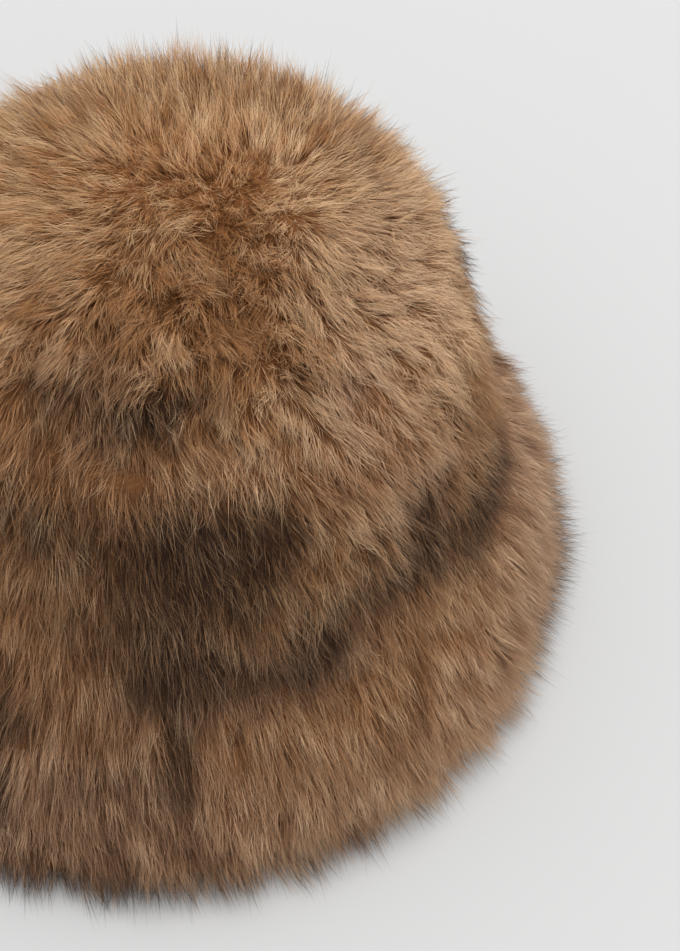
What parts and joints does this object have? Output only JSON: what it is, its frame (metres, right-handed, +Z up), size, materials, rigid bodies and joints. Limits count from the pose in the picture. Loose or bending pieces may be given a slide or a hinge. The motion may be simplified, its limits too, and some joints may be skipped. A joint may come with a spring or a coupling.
{
  "type": "fur bucket hat",
  "caption": "Deep-pile faux-fur bucket hat with a domed crown and a drooping brim, resting on its brim with the hollow open below.",
  "frame": {"origin": "on the surface that the hat rests on, under the middle of its bounding box", "axes": "+Z up through the crown, +Y towards the back of the head, which is the hat's long way"},
  "size_m": [0.3012, 0.3186, 0.1681],
  "materials": {
    "crown_tip_fur": "deep-pile modacrylic faux fur, tan with brown roots",
    "crown_side_fur": "deep-pile modacrylic faux fur, brown with dark bands",
    "brim_fur": "deep-pile modacrylic faux fur, brown with dark patches"
  },
  "bodies": {
    "root": {"crown_tip": "crown_tip_fur", "crown_side": "crown_side_fur", "brim": "brim_fur"}
  },
  "joints": []
}
